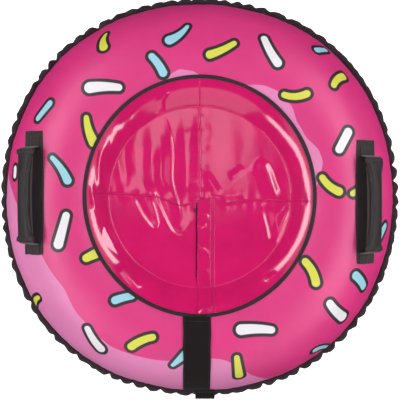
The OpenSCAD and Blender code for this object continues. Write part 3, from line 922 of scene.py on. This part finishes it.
# The seam that crosses the seat, and the puckers of the flap over the zip.
CROSS_SEAM = [(-262, 8), (-200, 8), (-142, 5), (-89, -1), (-43, -18), (-13, -10), (5, -4), (30, -9),
              (56, -14), (109, -7), (190, -8), (262, -8)]
FLAP_PUCKERS = [
    ([(22, -46), (14, -41), (4, -38)], 2.0, 4, 5),
    ([(-2, -70), (8, -63), (16, -62)], 2.2, 5, 4),
    ([(-3, -114), (8, -114), (20, -124), (30, -134)], 2.4, 4, 6),
    ([(0, -216), (9, -213), (20, -217)], 1.6, 4, 5),
    ([(-6, -252), (2, -244), (12, -240), (22, -243), (30, -249)], 3.0, 7, 5, 0.05, 0.05),
    ([(2, -165), (10, -160), (22, -166)], 0.8, 6, 6),
]


# At the front left the vinyl is slung straight from the tube towards the flat, then drops to it.
SLUNG_TURN = math.radians(26)
SLUNG_SLOPE = 0.54
SLUNG_STEEP = 1.1
SLUNG_FAR = RING_R - SKIN_R * math.sin(math.atan(SLUNG_SLOPE))
SLUNG_TOP = AXLE_Z + SKIN_R * math.cos(math.atan(SLUNG_SLOPE))
SLUNG_WIDE = 20 * MM
SLUNG_NEAR = (SLUNG_FAR - SLUNG_WIDE
              - (SLUNG_TOP - SLUNG_SLOPE * SLUNG_WIDE - SEAT_Z) / SLUNG_STEEP)


def dish(x, y):
    """Height of the seat's vinyl without its folds: flat, then bent up onto the tube."""
    far = np.hypot(x, y)
    loose = 1.5 * MM * ripple(x, y, 0.16, 33) * bell(far - FLAT_R, 30 * MM)
    bend = np.clip((far + loose - FLAT_R) / SEAT_BEND_R, 0, math.sin(SEAT_LEAVE))
    low = SEAT_Z + SEAT_BEND_R * (1 - np.sqrt(1 - bend ** 2))
    on_skin = above(x, y)[..., 2]
    low = np.where(far < RING_R - SKIN_R * math.sin(SEAT_LEAVE), np.maximum(low, on_skin), on_skin)
    outward = -(x * math.cos(SLUNG_TURN) + y * math.sin(SLUNG_TURN))
    slung = np.minimum(SLUNG_TOP + SLUNG_SLOPE * (outward - SLUNG_FAR),
                       SEAT_Z + SLUNG_STEEP * (outward - SLUNG_NEAR))
    slung = slung + 0.3 * MM * ripple(x, y, 0.05, 41) * smooth(0, 12 * MM, SLUNG_FAR - far)
    return np.where(far < SLUNG_FAR, np.maximum(low, slung), low)


def seam_y(x):
    """Where the seam that crosses the seat lies at x."""
    line = curve(CROSS_SEAM)
    return np.interp(x, line[:, 0], line[:, 1])


def seat_height(x, y):
    """Height of the seat's vinyl with its folds, gathers and seams. The folds fade at the binding,
    and there are none under the flap."""
    edge = 1 - smooth(0.90, 0.985, np.hypot(x / SEAT_HALF_X, (y - SEAT_SHIFT_Y) / SEAT_HALF_Y))
    clear = 1 - window(x, -26 * MM, -8 * MM, 32 * MM, 48 * MM) * (1 - smooth(-6 * MM, 2 * MM, y))
    slack = ripple(x * 1.5, y * 0.5, 0.11, 21) * 0.8 * MM + ripple(x, y, 0.03, 3) * 0.06 * MM
    slack = slack * (0.3 + 0.7 * smooth(-20 * MM, 20 * MM, y) * (1 - smooth(-0.03, 0.05, x)))
    for fold in FOLDS:
        slack = slack + ridge(x, y, *fold)
    away = np.abs(y - seam_y(x))
    gather = ripple(x * 1.0, y * 0.15, 0.022, 8) * 0.7 * MM * np.exp(-away / (11 * MM))
    side = np.abs(x)
    gather = gather + (ripple(y, x * 0.15, 0.026, 14) * 0.6 * MM * np.exp(-side / (13 * MM))
                       * smooth(-5 * MM, 15 * MM, y))
    groove = -SEAM_DEEP * bell(away, SEAM_WIDE)
    groove = groove - SEAM_DEEP * bell(side, SEAM_WIDE) * smooth(-8 * MM, 0, y)
    return dish(x, y) + edge * clear * (slack + gather + groove)


def on_seat(x, y):
    """Points just above the seat's vinyl, for its stitches."""
    return xyz(x, y, seat_height(x, y) + STITCH_LIFT)


def make_seat(count=188):
    a, b = np.meshgrid(np.linspace(0, 1, count), np.linspace(0, 1, count), indexing="ij")
    across = a * np.sqrt(1 - b ** 2 / 2)
    along = b * np.sqrt(1 - a ** 2 / 2)
    for name, sx, sy in (("seat_back_right", 1, 1), ("seat_back_left", -1, 1),
                         ("seat_front_left", -1, -1), ("seat_front_right", 1, -1)):
        x = sx * across * SEAT_HALF_X
        y = SEAT_SHIFT_Y + sy * along * SEAT_HALF_Y
        near_seam = 1 - smooth(0, 1, along)
        y = y + (seam_y(x) - SEAT_SHIFT_Y) * near_seam * (1 - smooth(0.8, 1, a * b))
        rim = np.hypot(x / SEAT_HALF_X, (y - SEAT_SHIFT_Y) / SEAT_HALF_Y)
        y = np.where(rim > 1, SEAT_SHIFT_Y + (y - SEAT_SHIFT_Y) / rim, y)
        if sy < 0:
            in_slot = window(-y, -SLOT_NEAR - 2 * MM, -SLOT_NEAR, -SLOT_FAR, 2 * MM - SLOT_FAR)
            x = x + sx * SLOT_HALF * in_slot * np.exp(-np.abs(x) / (25 * MM))
        front = xyz(x, y, seat_height(x, y))
        if sx * sy < 0:
            front = front[:, ::-1]
        obj = shell(name + "_vinyl", front, SEAT_THICK, vinyl)
        dress(obj, "pink_vinyl", name)
    lines = []
    for offset in (3.2, -3.2):
        x = np.linspace(-246, 246, 400) * MM
        y = seam_y(x) + offset * MM
        keep = ~((x > -7 * MM) & (x < 32 * MM) & (y < -2 * MM))
        line = on_seat(x, y)
        for run in np.split(np.arange(400), np.nonzero(np.diff(keep.astype(int)))[0] + 1):
            if keep[run[0]] and len(run) > 3:
                lines.append(facing(line[run]))
    y = np.linspace(8, 254, 300) * MM
    lines.append(facing(on_seat(0 * y + 3 * MM, y)))
    sew("seat_stitches", "pink_vinyl", lines, pink_thread, 4.2 * MM, 3 * MM, 0.32 * MM)


def make_seat_binding(rows=960, cols=16):
    turn = whole_turn(rows)
    wide = (4.4 + 0.35 * ring_ripple(turn, 0.5, 2)) * MM
    thick = (1.75 + 0.15 * ring_ripple(turn, 0.06, 6)) * MM
    x, y = seat_edge(turn)
    far, at = np.hypot(x, y), np.arctan2(y, x)
    slope = np.arcsin((far - RING_R) / SKIN_R)
    middle = on_tube(at, slope, 1.1 * MM)
    up = polar(np.sin(slope), at, np.cos(slope))
    out = polar(np.cos(slope), at, -np.sin(slope))
    a, b = oblong(cols, 0.6, 0.8)
    sections = (middle[:, None] + out[:, None] * wide[:, None, None] * a[:, None]
                + up[:, None] * thick[:, None, None] * b[:, None])
    obj = ring_solid("seat_binding_tape", sections, binding_tape)
    dress(obj, "black_binding", "seat_binding")
    lines = [(middle + out * (wide * place)[:, None] + up * (thick * 0.98)[:, None], up)
             for place in (-0.6, 0.6)]
    sew("seat_binding_stitches", "black_binding", lines, black_thread,
        4.4 * MM, 3 * MM, 0.3 * MM)


make_seat()
make_seat_binding()


# ---------------------------------------------------------------- flap over the zip

SEWN_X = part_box("zip_flap")[1].x - 0.5 * MM
FLAP_X = FLAP_LOW.x - 0.3 * MM
FLAP_END_Y = -257 * MM
FLAP_LIFT, ZIP_LIFT = 1.2 * MM, 4.8 * MM
HEM_WIDTH = 10.4 * MM


def flap_drift(y):
    """The flap's sewn edge leans to the right beyond the zip."""
    return 2.5 * MM * smooth(-0.178, FLAP_END_Y, y)


def make_flap(rows=260, cols=44):
    y = np.linspace(FLAP_HIGH.y, FLAP_END_Y, rows)[:, None]
    share = np.linspace(0, 1, cols)[None, :]
    right = SEWN_X + flap_drift(y) + 0 * share
    x = FLAP_X + (right - FLAP_X) * share + 0.5 * MM * ripple(y, 0 * y, 0.05, 5) * (1 - share)
    y = y + 0 * x
    over_zip = 1 - smooth(0.172, 0.196, -y)
    raised = over_zip * (1 - share)
    z = dish(x, y) + FLAP_LIFT + ZIP_LIFT * raised
    puckers = ripple(x * 0.5, y, 0.03, 17) * 0.22 * MM
    for pucker in FLAP_PUCKERS:
        puckers = puckers + ridge(x, y, *pucker)
    z = z + puckers * smooth(0, 0.12, 1 - share) * (1 - 0.5 * raised)
    front = xyz(x, y, np.minimum(z, np.where(raised > 0.5, FLAP_HIGH.z + 2 * MM, z)))
    obj = shell("zip_flap_vinyl", front, FLAP_THICK, vinyl)
    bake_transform(obj)
    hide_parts("zip_flap")


def make_flap_hem(rows=260):
    y = np.linspace(-1 * MM, FLAP_END_Y, rows)[:, None]
    share = np.linspace(0, 1, 8)[None, :]
    x = SEWN_X + 0.2 * MM + flap_drift(y) + HEM_WIDTH * share
    front = xyz(x, y, dish(x, y) + FLAP_LIFT - 0.5 * MM * smooth(0.7, 1, share))
    hem = shell("zip_flap_hem", front, HEM_THICK, vinyl)
    dress(hem, "pink_vinyl", "zip_flap_end")
    line = front[4:-12, 2] + np.array([0, 0, 0.12 * MM])
    sew("zip_flap_stitches", "pink_vinyl", [facing(line)], black_thread,
        3.6 * MM, 2.8 * MM, 0.32 * MM)


make_flap()
make_flap_hem()


# ---------------------------------------------------------------- handles

def handle_place(points, side):
    """From a handle's own frame on the flank to the row's frame."""
    x, y, z = np.moveaxis(np.asarray(points, float), -1, 0)
    s, c = math.sin(HANDLE_ANGLE), math.cos(HANDLE_ANGLE)
    out = RING_R + x * c + (SKIN_R + z) * s
    up = AXLE_Z - x * s + (SKIN_R + z) * c
    flip = SIDES[side]
    return xyz(out * flip, (y - HANDLE_SHIFT) * flip, up)


def flank_height(x, y, lift):
    """Height in a handle's frame of the surface that lies lift above the cover."""
    z = np.zeros(np.broadcast(x, y).shape)
    for _ in range(12):
        p = handle_place(xyz(x, y, z), "right")
        gap = np.hypot(np.hypot(p[..., 0], p[..., 1]) - RING_R, p[..., 2] - AXLE_Z) - SKIN_R - lift
        z = z - gap
    return z


def on_flank(x, y, lift, side):
    """Points that lie lift above the cover at a handle."""
    return handle_place(xyz(x, y, flank_height(x, y, lift)), side)


def handle_up(side):
    """The direction out of the cover at a handle."""
    return handle_place([[0, 0, 1]], side)[0] - handle_place([[0, 0, 0]], side)[0]


def grip_middle(side):
    """Where a grip's middle lies along its webbing, in the handle's own frame."""
    return -GRIP_SHIFT * SIDES[side]


def straight_in_plan(y, lift):
    """How far across its frame the webbing runs at y, so that it looks straight from above."""
    x = 0 * y
    for _ in range(4):
        x = -flank_height(x, y, lift) * math.tan(HANDLE_ANGLE)
    return x


def apply_modifiers(obj):
    graph = bpy.context.evaluated_depsgraph_get()
    obj.data = bpy.data.meshes.new_from_object(obj.evaluated_get(graph))
    obj.modifiers.clear()


def read_points(mesh):
    points = np.zeros(len(mesh.vertices) * 3)
    mesh.vertices.foreach_get("co", points)
    return points


def inflate(obj, cap, voxel=4 * MM, pressure=4.0, frames=20):
    """Swells a padded piece with Blender's cloth, moves no point more than cap, and applies it."""
    scene = bpy.context.scene
    remesh = obj.modifiers.new("remesh", "REMESH")
    remesh.mode = "VOXEL"
    remesh.voxel_size = voxel
    remesh.use_smooth_shade = True
    apply_modifiers(obj)
    before = read_points(obj.data)
    cloth = obj.modifiers.new("cloth", "CLOTH")
    cloth.settings.use_pressure = True
    cloth.settings.uniform_pressure_force = pressure
    cloth.settings.effector_weights.gravity = 0
    cloth.settings.quality = 6
    for step in range(1, frames + 1):
        scene.frame_set(step)
    apply_modifiers(obj)
    move = (read_points(obj.data) - before).reshape(-1, 3)
    far = np.linalg.norm(move, axis=1, keepdims=True)
    move = move * np.minimum(1, cap / np.maximum(far, 1e-9))
    before = before + move.ravel()
    obj.data.vertices.foreach_set("co", before)
    scene.frame_set(1)
    smoother = obj.modifiers.new("smooth", "SUBSURF")
    smoother.levels = smoother.render_levels = 1
    apply_modifiers(obj)
    obj.data.polygons.foreach_set("use_smooth", [True] * len(obj.data.polygons))


def grip_bow(y):
    """How far a grip's middle bows outwards, at y from the grip's own middle."""
    return 4.2 * MM * (1 - (y / (GRIP_LENGTH / 2)) ** 2) - 1.6 * MM


def grip_place(x, y, z, side):
    """From a grip's own frame, which starts at its middle, to the row's frame."""
    return handle_place(xyz(x, y + grip_middle(side), z), side)


def make_grip(side, rows=60):
    """A padded sleeve over the handle's webbing, with a firmer hem and a row of stitches at each
    end."""
    y = np.linspace(-1, 1, rows) * (GRIP_LENGTH / 2 - 3 * MM)
    pinch = (1 - 0.10 * smooth(0.86, 1.0, np.abs(y) / y[-1]))[:, None]
    a, b = oblong(28)
    x = grip_bow(y)[:, None] + (GRIP_WIDTH / 2 - 2.2 * MM) * a * pinch
    z = GRIP_HEIGHT + (GRIP_THICK / 2 - 2.4 * MM) * b * pinch
    obj = bar(side + "_grip_padding", grip_place(x, y[:, None], z, side), grip_cloth)
    inflate(obj, GRIP_SWELL)
    dress(obj, "black_grip", side + "_grip_sleeve", side + "_grip_foam", body=side + "_handle")
    lines = []
    for word, end in ENDS.items():
        y = np.linspace(-5, 5, 9) * MM + end * (GRIP_LENGTH / 2 - 4.5 * MM)
        from_hem = y * end - GRIP_LENGTH / 2 + 8 * MM
        wide = GRIP_WIDTH / 2 + 0.6 * MM - 1.6 * MM * bell(from_hem, 2 * MM)
        a, b = oblong(32, 0.4, 0.4)
        x = grip_bow(y)[:, None] + wide[:, None] * a
        z = GRIP_HEIGHT - 0.8 * MM + 4.6 * MM * b
        outline = grip_place(x, y[:, None], z, side)
        hem = bar("%s_grip_hem_%s" % (side, word), outline, grip_cloth)
        dress(hem, "black_grip", body=side + "_handle")
        x = np.linspace(-18, 18, 30) * MM
        line = grip_place(x + grip_bow(y[5]), y[3], GRIP_HEIGHT + 3.9 * MM, side)
        lines.append(facing(line, handle_up(side)))
    sew(side + "_grip_stitches", "black_grip", lines, black_thread, body=side + "_handle")


def make_handle_base(side):
    """The webbing sewn flat on the cover under a handle."""
    y = np.linspace(-BASE_LENGTH / 2, BASE_LENGTH / 2, 150)[:, None]
    x = np.linspace(BASE_WIDTH / 2, -BASE_WIDTH / 2, 26)[None, :] + 0 * y
    sway = 0.5 * MM * ripple(y, 0 * y, 0.12, 31) + straight_in_plan(y, BASE_LIFT)
    x = x + sway
    y = y + 0.7 * MM * ripple(x, 0 * x, 0.05, 13) * np.abs(y) / (BASE_LENGTH / 2)
    lift = BASE_LIFT + 0.25 * MM * ripple(x, y, 0.04, 11)
    rim = np.minimum(BASE_WIDTH / 2 - np.abs(x - sway), BASE_LENGTH / 2 - np.abs(y))
    lift = lift - 0.5 * MM * bell(rim - SEAM_IN, 1.2 * MM)
    front = on_flank(x, y, lift, side)
    obj = shell(side + "_handle_webbing", squared(front), BASE_THICK, webbing)
    dress(obj, "black_webbing", side + "_handle_base")
    half = np.array([BASE_WIDTH, BASE_LENGTH]) / 2 - SEAM_IN
    corners = half * [[-1, -1], [1, -1], [1, 1], [-1, 1], [-1, -1]]
    lines = []
    for start, end in zip(corners, corners[1:]):
        x, y = np.linspace(start, end, 60).T
        x = x + straight_in_plan(y, BASE_LIFT - 0.2 * MM)
        line = on_flank(x, y, BASE_LIFT - 0.2 * MM, side)
        lines.append(facing(squared(line), handle_up(side)))
    sew(side + "_handle_stitches", "black_webbing", lines, black_thread,
        4.5 * MM, 3.2 * MM, 0.4 * MM)


def make_handle_leg(side, word, end):
    """The webbing from the sewn tab on the flank up into the grip, at one end of a handle."""
    foot = GRIP_LENGTH / 2 + 7 * MM
    tab = end * (foot + np.array([24, 16, 8, 3]) * MM) + grip_middle(side)
    low = flank_height(0 * tab, tab, TAB_LIFT)
    corners = [(tab[k], low[k]) for k in range(4)]
    ground = corners[-1][1]
    for out, up in ((0.5, ground + 2 * MM), (-0.5, ground + 8 * MM), (-4, STRAP_HEIGHT - 6 * MM),
                    (-9, STRAP_HEIGHT - 0.6 * MM), (-16, STRAP_HEIGHT), (-30, STRAP_HEIGHT)):
        corners.append((end * (foot + out * MM) + grip_middle(side), up))
    path = curve(np.array(corners) / MM, 7)
    wide = np.interp(path[:, 1], [low.max(), low.max() + 16 * MM], [TAB_HALF, STRAP_WIDTH / 2])
    wide = np.where(path[:, 1] < ground + 1 * MM, TAB_HALF, wide)
    x = wide[:, None] * np.linspace(end, -end, 16)[None, :]
    y, z = path[:, :1], path[:, 1:]
    sag = flank_height(x, y, TAB_LIFT) - flank_height(0 * x, y, TAB_LIFT)
    z = z + sag * (1 - smooth(ground, ground + 5 * MM, z))
    front = handle_place(xyz(x, y, z), side)
    obj = shell("%s_handle_leg_%s" % (side, word), front[::-1], -LEG_THICK, webbing)
    cover_end = handle_place([[0, tab[1], 0]], side)[0]
    handle_end = handle_place([[0, end * (foot - 7 * MM) + grip_middle(side), 0]], side)[0]
    height = handle_place([[0, 0, 0]], side)[0][2]
    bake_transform(obj)
    if end < 0:
        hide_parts(side + "_handle_strap")
    half, y0, y1 = 9 * MM, tab[0] - end * 3 * MM, tab[2]
    a, b, c, d = (-half, y0), (half, y0), (half, y1), (-half, y1)
    lines = []
    for start, stop in ((a, b), (b, c), (c, d), (d, a), (a, c), (b, d)):
        x, y = np.linspace(start, stop, 24).T
        lines.append(facing(on_flank(x, y, TAB_LIFT + 0.1 * MM, side), handle_up(side)))
    sew("%s_leg_stitches_%s" % (side, word), "black_webbing", lines, black_thread,
        3.6 * MM, 2.7 * MM)


def make_handle_middle(side):
    """The webbing inside the grip, between the two legs."""
    y = np.linspace(-82, 82, 60)[:, None] * MM
    x = np.linspace(STRAP_WIDTH / 2, -STRAP_WIDTH / 2, 14)[None, :] + grip_bow(y)
    z = STRAP_HEIGHT + 0.1 * MM * ripple(x, y, 0.05, 2)
    obj = shell(side + "_handle_middle", grip_place(x, y, z, side), LEG_THICK, webbing)
    dress(obj, "black_webbing", body=side + "_handle")


for side in SIDES:
    make_handle_base(side)
    for word, end in ENDS.items():
        make_handle_leg(side, word, end)
    make_handle_middle(side)
    make_grip(side)


# ---------------------------------------------------------------- tow strap and loop

def along_grid(front, *parts):
    """Lines for stitches that follow rows or columns of a grid of points."""
    normals = grid_normals(front)
    return [(front[part] + normals[part] * 0.15 * MM, normals[part]) for part in parts]


# The tow strap starts this far from the tube's axis, at the seat's edge, and ends at this angle
# from the tube's crest, just above the rim.
TOW_START, TOW_END = 0.2585, math.radians(86.5)


def make_tow_strap():
    """The webbing that runs over the tube from the seat to the rim."""
    angle = np.linspace(math.asin((TOW_START - RING_R) / SKIN_R), TOW_END, 190)[:, None]
    x = np.linspace(STRAP_LOW.x, STRAP_HIGH.x, 34)[None, :] + 0 * angle
    x = x + 0.5 * MM * ripple(angle, 0 * angle, 0.5, 3) - 1.2 * MM * smooth(0.3, 1.4, angle)
    share = np.linspace(-1, 1, 34)[None, :]
    lift = (2.7 + 0.4 * (1 - share ** 2) * smooth(0, 0.3, angle + 0.3)) * MM
    lift = lift + 0.3 * MM * ripple(x, angle * SKIN_R, 0.06, 19)
    lift = lift - 0.5 * MM * bell(np.abs(share) - 0.86, 0.04)
    far = RING_R + (SKIN_R + lift) * np.sin(angle)
    y = -np.sqrt(np.maximum(far ** 2 - x ** 2, 0))
    front = xyz(x, y, AXLE_Z + (SKIN_R + lift) * np.cos(angle))
    obj = shell("tow_strap_webbing", front, STRAP_THICK, shaded_strap_webbing)
    dress(obj, "black_webbing", "tow_strap")
    lines = along_grid(front, np.s_[6:-4, 2], np.s_[6:-4, 31], np.s_[10, 2:32], np.s_[150, 2:32],
                       np.s_[184, 2:32])
    sew("tow_strap_stitches", "black_webbing", lines, black_thread,
        4.5 * MM, 3.2 * MM, 0.4 * MM)


def make_tow_loop():
    """Webbing sewn on the strap, over the rim, round the eye and back up behind itself."""
    middle_x = (LOOP_LOW.x + LOOP_HIGH.x) / 2
    half = (LOOP_HIGH.x - LOOP_LOW.x) / 2
    eye_z, eye_y, eye_r = LOOP_LOW.z + 10.8 * MM, -453 * MM, 10.3 * MM
    corners = []
    skin = SKIN_R + 5.0 * MM
    for angle in (72, 76, 80, 84):
        corners.append((-(RING_R + skin * math.sin(math.radians(angle))) / MM,
                        (AXLE_Z + skin * math.cos(math.radians(angle))) / MM))
    rim_y, rim_z = -RIM_R / MM, AXLE_Z / MM
    corners += [(rim_y - 1.2, rim_z + 6.8), (rim_y - 4.6, rim_z + 2.5), (rim_y - 5.8, rim_z - 6),
                (rim_y - 6.6, rim_z - 16)]
    for turn in (160, 190, 225, 270, 315, 350, 20):
        a = math.radians(turn)
        corners.append(((eye_y + eye_r * math.cos(a)) / MM, (eye_z + eye_r * math.sin(a)) / MM))
    corners += [(rim_y - 0.4, rim_z - 18), (rim_y - 2.4, rim_z - 8), (rim_y - 2.7, rim_z - 3)]
    path = curve(corners, 8)
    frayed = 0.35 * MM * ripple(path[:, :1], path[:, 1:], 0.03, 2)
    x = middle_x + half * np.linspace(-1, 1, 26)[None, :] + frayed
    front = xyz(x, path[:, :1], path[:, 1:])
    obj = shell("tow_loop_webbing", front, LOOP_THICK, shaded_strap_webbing)
    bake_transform(obj)
    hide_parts("tow_loop")
    sew("tow_loop_stitches", "black_webbing",
        along_grid(front, np.s_[4, 2:24], np.s_[20, 2:24]), black_thread, 4.2 * MM, 3 * MM, 0.4 * MM)


make_tow_strap()
make_tow_loop()


# ---------------------------------------------------------------- CAD parts that are kept

KEPT = [
    (rubber, "inner_tube", "valve_base"), (brass, "valve_stem", "valve_core", "valve_pin"),
    (cap_plastic, "valve_cap"), (zip_tape, "zip_tape_left", "zip_tape_right"),
    (zip_plastic, "zip_teeth_left", "zip_teeth_right", "zip_stops"),
    (enamel, "zip_slider", "zip_pull"),
]
for mat, *nodes in KEPT:
    for node in nodes:
        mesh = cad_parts[node].data
        mesh.materials.clear()
        mesh.materials.append(mat)
